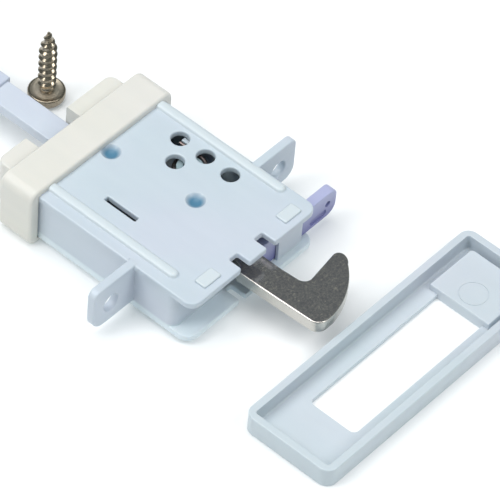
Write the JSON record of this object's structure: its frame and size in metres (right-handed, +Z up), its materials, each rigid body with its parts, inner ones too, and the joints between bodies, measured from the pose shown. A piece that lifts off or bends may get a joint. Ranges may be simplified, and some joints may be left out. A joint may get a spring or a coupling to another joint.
{
  "type": "hook latch",
  "caption": "Flat spring-loaded hook latch in a screw-on plastic housing, released by a pull bar or a side push lever, with its trim frame and a fixing screw.",
  "frame": {"origin": "midway between the two ear screw holes, on the front faces of the ears", "axes": "+X out of the housing along the hook, +Y towards the push lever, +Z up through the cover plate"},
  "size_m": [0.1338, 0.0742, 0.02],
  "materials": {
    "housing_plastic": "moulded, fine satin",
    "collar_plastic": "moulded, fine satin",
    "guide_plastic": "moulded",
    "stop_rubber": "matte",
    "pin_steel": "turned, satin",
    "spring_steel": "drawn wire",
    "hook_steel": "stamped, dark face and bright edges",
    "bush_brass": "turned",
    "bar_plastic": "moulded, satin",
    "grip_plastic": "moulded, satin",
    "link_steel": "stamped, zinc plated",
    "lever_plastic": "moulded, satin",
    "trim_plastic": "moulded, satin",
    "screw_steel": "dark nickel plated"
  },
  "bodies": {
    "housing": {"base_shell": "housing_plastic", "cover_plate": "housing_plastic", "rear_collar": "collar_plastic", "bar_guide": "guide_plastic", "stop_pad": "stop_rubber", "pivot_pin": "pin_steel", "pivot_clip": "pin_steel", "pivot_washers": "guide_plastic", "spring_bobbin": "guide_plastic", "return_spring": "spring_steel"},
    "hook": {"hook_plate": "hook_steel", "hook_bush": "bush_brass", "crank_pin": "pin_steel", "crank_clip": "pin_steel"},
    "pull_bar": {"pull_bar": "bar_plastic", "link_plate": "link_steel", "link_rivets": "pin_steel", "bar_grip": "grip_plastic", "grip_pin": "pin_steel"},
    "release_lever": {"release_lever": "lever_plastic", "lever_spring": "spring_steel"},
    "trim_frame": {"trim_frame": "trim_plastic"},
    "fixing_screw": {"fixing_screw": "screw_steel"}
  },
  "joints": [
    {"name": "hook_swing", "type": "hinge", "parent": "housing", "child": "hook", "pos_m": [0.005, 0.0008, 0], "axis": [0, 0, 1], "range_deg": [-22, 0], "stiffness_Nm_per_rad": 0.06, "springref_deg": 20.05},
    {"name": "bar_pull", "type": "slide", "parent": "housing", "child": "pull_bar", "axis": [-1, 0, 0], "range_m": [0, 0.0031], "deforming": ["return_spring"]},
    {"name": "release_lever_push", "type": "slide", "parent": "housing", "child": "release_lever", "axis": [0, -1, 0], "range_m": [0, 0.00295], "deforming": ["lever_spring"]},
    {"name": "trim_lift", "type": "slide", "parent": "housing", "child": "trim_frame", "axis": [0, 0, 1], "range_m": [0, 0.04]},
    {"name": "screw_lift", "type": "slide", "parent": "housing", "child": "fixing_screw", "axis": [0, 0, 1], "range_m": [0, 0.04]}
  ],
  "couplings": [
    {"joint": "bar_pull", "follows": "hook_swing", "m_per_rad": -0.0079509},
    {"joint": "release_lever_push", "follows": "hook_swing", "m_per_rad": -0.0075558}
  ]
}
